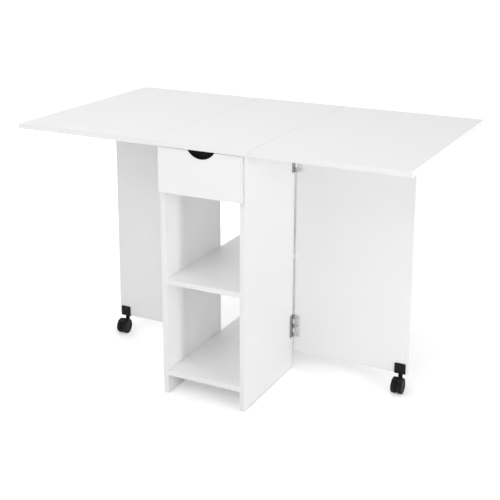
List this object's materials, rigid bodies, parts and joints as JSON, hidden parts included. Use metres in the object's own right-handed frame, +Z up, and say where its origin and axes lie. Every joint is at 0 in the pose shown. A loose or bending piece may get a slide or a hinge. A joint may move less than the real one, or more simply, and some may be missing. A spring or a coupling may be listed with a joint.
{
  "type": "rolling drop-leaf table",
  "caption": "White drop-leaf table on a narrow shelved cabinet with a drawer; hinged gates on twin-wheel casters swing out to carry the raised leaves.",
  "frame": {"origin": "on the floor, under the middle of the open table top", "axes": "+X along the open table towards the right leaf, +Y towards the back, away from the drawer, +Z up"},
  "size_m": [1.17, 0.674, 0.75],
  "materials": {
    "white_board": "white melamine-faced particle board with matching edge band",
    "hardboard": "white-faced hardboard",
    "hinge_steel": "zinc-plated pressed steel",
    "cam_zinc": "die-cast zinc and plated steel",
    "black_moulding": "black moulded plastic, fine satin",
    "wheel_black": "black nylon wheels",
    "bracket_black": "black powder-coated steel plate",
    "glide_white": "white nylon nail-on glides",
    "runner_white": "white plastic runner strip"
  },
  "bodies": {
    "cabinet": {"left_side_panel": "white_board", "right_side_panel": "white_board", "rear_panel": "white_board", "middle_shelf": "white_board", "bottom_shelf": "white_board", "top_stretcher": "white_board", "fixed_top": "white_board", "cam_locks": "cam_zinc", "cam_bolts": "cam_zinc", "foot_glides": "glide_white", "left_runner": "runner_white", "right_runner": "runner_white", "runner_screws": "hinge_steel", "gate_hinge_side_leaves": "hinge_steel", "gate_hinge_pins": "hinge_steel", "gate_hinge_side_screws": "hinge_steel", "flap_hinge_top_leaves": "hinge_steel", "flap_hinge_pins": "hinge_steel", "flap_hinge_top_screws": "hinge_steel"},
    "drawer": {"drawer_front": "white_board", "drawer_left_side": "white_board", "drawer_right_side": "white_board", "drawer_back": "white_board", "drawer_bottom": "hardboard", "finger_pull": "black_moulding", "drawer_cams": "cam_zinc", "drawer_cam_bolts": "cam_zinc", "drawer_back_screws": "hinge_steel"},
    "right_flap": {"right_leaf": "white_board", "right_flap_hinge_leaves": "hinge_steel", "right_flap_hinge_screws": "hinge_steel"},
    "right_swing_gate": {"right_gate": "white_board", "right_gate_hinge_leaves": "hinge_steel", "right_gate_hinge_screws": "hinge_steel", "right_gate_glides": "glide_white", "right_caster_bracket": "bracket_black", "right_bracket_screws": "bracket_black", "right_caster_stem": "bracket_black"},
    "right_caster": {"right_caster_hood": "black_moulding", "right_caster_axle": "hinge_steel"},
    "right_caster_right_roller": {"right_caster_right_wheel": "wheel_black"},
    "right_caster_left_roller": {"right_caster_left_wheel": "wheel_black"},
    "left_flap": {"left_leaf": "white_board", "left_flap_hinge_leaves": "hinge_steel", "left_flap_hinge_screws": "hinge_steel"},
    "left_swing_gate": {"left_gate": "white_board", "left_gate_hinge_leaves": "hinge_steel", "left_gate_hinge_screws": "hinge_steel", "left_gate_glides": "glide_white", "left_caster_bracket": "bracket_black", "left_bracket_screws": "bracket_black", "left_caster_stem": "bracket_black"},
    "left_caster": {"left_caster_hood": "black_moulding", "left_caster_axle": "hinge_steel"},
    "left_caster_right_roller": {"left_caster_right_wheel": "wheel_black"},
    "left_caster_left_roller": {"left_caster_left_wheel": "wheel_black"}
  },
  "joints": [
    {"name": "drawer_slide", "type": "slide", "parent": "cabinet", "child": "drawer", "axis": [0, -1, 0], "range_m": [0, 0.22]},
    {"name": "right_gate_fold", "type": "hinge", "parent": "cabinet", "child": "right_swing_gate", "pos_m": [0.132, 0.005, 0.4], "axis": [0, 0, 1], "range_deg": [0, 90]},
    {"name": "left_gate_fold", "type": "hinge", "parent": "cabinet", "child": "left_swing_gate", "pos_m": [-0.132, 0.005, 0.4], "axis": [0, 0, -1], "range_deg": [0, 90]},
    {"name": "right_leaf_lift", "type": "hinge", "parent": "cabinet", "child": "right_flap", "pos_m": [0.1493, 0, 0.7325], "axis": [0, -1, 0], "range_deg": [0, 1.5]},
    {"name": "left_leaf_lift", "type": "hinge", "parent": "cabinet", "child": "left_flap", "pos_m": [-0.1493, 0, 0.7325], "axis": [0, 1, 0], "range_deg": [0, 1.5]},
    {"name": "right_caster_swivel", "type": "hinge", "parent": "right_swing_gate", "child": "right_caster", "pos_m": [0.468, 0.015, 0.03], "axis": [0, 0, 1], "continuous": true},
    {"name": "left_caster_swivel", "type": "hinge", "parent": "left_swing_gate", "child": "left_caster", "pos_m": [-0.468, 0.015, 0.03], "axis": [0, 0, 1], "continuous": true},
    {"name": "right_caster_right_spin", "type": "hinge", "parent": "right_caster", "child": "right_caster_right_roller", "pos_m": [0.4684, -0.008, 0.022], "axis": [0.9998, 0.0175, 0], "continuous": true},
    {"name": "right_caster_left_spin", "type": "hinge", "parent": "right_caster", "child": "right_caster_left_roller", "pos_m": [0.4684, -0.008, 0.022], "axis": [0.9998, 0.0175, 0], "continuous": true},
    {"name": "left_caster_right_spin", "type": "hinge", "parent": "left_caster", "child": "left_caster_right_roller", "pos_m": [-0.4668, -0.00797, 0.022], "axis": [0.9986, 0.0523, 0], "continuous": true},
    {"name": "left_caster_left_spin", "type": "hinge", "parent": "left_caster", "child": "left_caster_left_roller", "pos_m": [-0.4668, -0.00797, 0.022], "axis": [0.9986, 0.0523, 0], "continuous": true}
  ]
}
